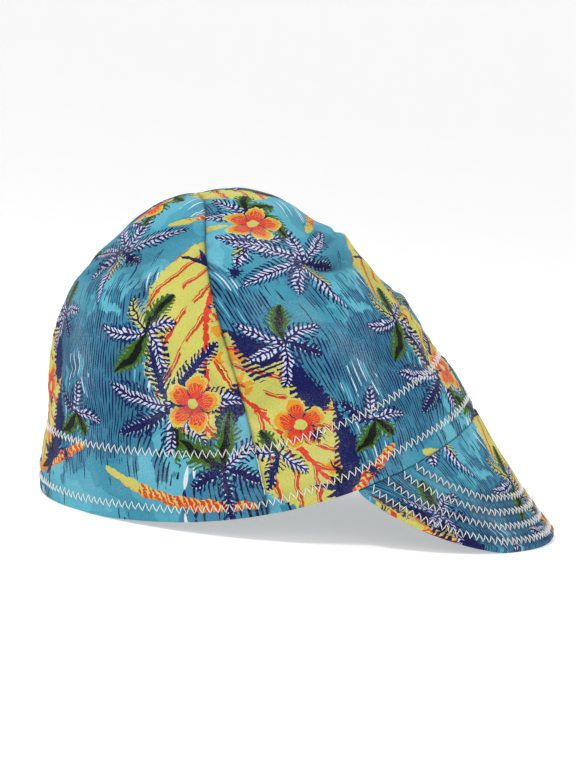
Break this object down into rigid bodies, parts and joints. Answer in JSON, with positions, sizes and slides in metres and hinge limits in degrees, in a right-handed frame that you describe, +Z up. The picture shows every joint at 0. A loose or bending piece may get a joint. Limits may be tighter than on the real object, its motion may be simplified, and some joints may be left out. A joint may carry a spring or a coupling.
{
  "type": "welding cap",
  "caption": "Soft printed cotton cap with a deep sewn crown, an inner sweatband and a short quilted bill that droops.",
  "frame": {"origin": "on the table, under the middle of the cap's length and width", "axes": "+X forward over the bill, +Y to the wearer's left, +Z up from the table"},
  "size_m": [0.244, 0.1702, 0.148],
  "materials": {
    "printed_cotton": "matt plain weave, printed in teal, navy, yellow, orange and green",
    "band_cotton": "matt plain weave, the paler back of the printed cloth",
    "bill_cotton": "matt plain weave, printed and quilted in four rows"
  },
  "bodies": {
    "root": {"gore_front_left": "printed_cotton", "gore_back_left": "printed_cotton", "gore_back_right": "printed_cotton", "gore_front_right": "printed_cotton", "sweatband": "band_cotton", "bill": "bill_cotton"}
  },
  "joints": []
}
